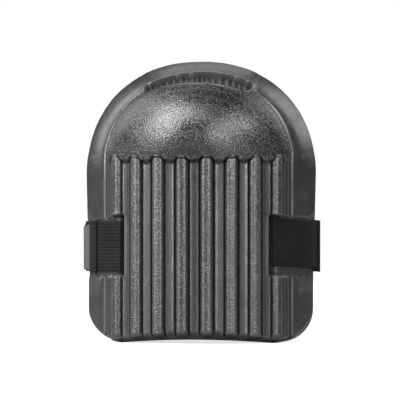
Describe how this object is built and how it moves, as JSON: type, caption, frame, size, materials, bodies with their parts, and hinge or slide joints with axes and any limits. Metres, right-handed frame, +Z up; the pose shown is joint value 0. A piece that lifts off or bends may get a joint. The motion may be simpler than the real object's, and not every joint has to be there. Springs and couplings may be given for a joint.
{
  "type": "knee pad",
  "caption": "One-piece moulded foam knee pad with a ribbed front, a domed knee cap and an elastic leg strap with a hook-and-loop closure.",
  "frame": {"origin": "middle of the flat lower edge, which the pad stands on upright, 28 mm in front of the plane of the rear rim", "axes": "+Z up the leg, -Y out of the ribbed front, +Y towards the leg, +X to the right seen from the front"},
  "size_m": [0.1749, 0.1048, 0.205],
  "materials": {
    "foam": "moulded closed-cell foam, charcoal, grainy with a satin sheen",
    "elastic": "black ribbed elastic webbing",
    "thread": "black polyester thread",
    "hook": "black hook tape",
    "tape": "dark grey loop tape, brushed"
  },
  "bodies": {
    "pad": {"pad_body": "foam", "right_loop": "elastic", "left_loop": "elastic", "hem_stitching": "thread"},
    "strap": {"long_strap": "elastic", "anchor_stitching": "thread", "hook_tape": "hook", "hook_stitching": "thread"},
    "tab": {"loop_tape": "tape", "tape_stitching": "thread"}
  },
  "joints": [
    {"name": "strap_swing", "type": "hinge", "parent": "pad", "child": "strap", "pos_m": [0.08657, 0.023, 0.071], "axis": [0, 0, -1], "range_deg": [0, 110]},
    {"name": "tab_swing", "type": "hinge", "parent": "pad", "child": "tab", "pos_m": [-0.08088, 0.01315, 0.071], "axis": [0, 0, 1], "range_deg": [0, 44]}
  ],
  "couplings": [
    {"joint": "tab_swing", "follows": "strap_swing", "ratio": 0.4}
  ]
}
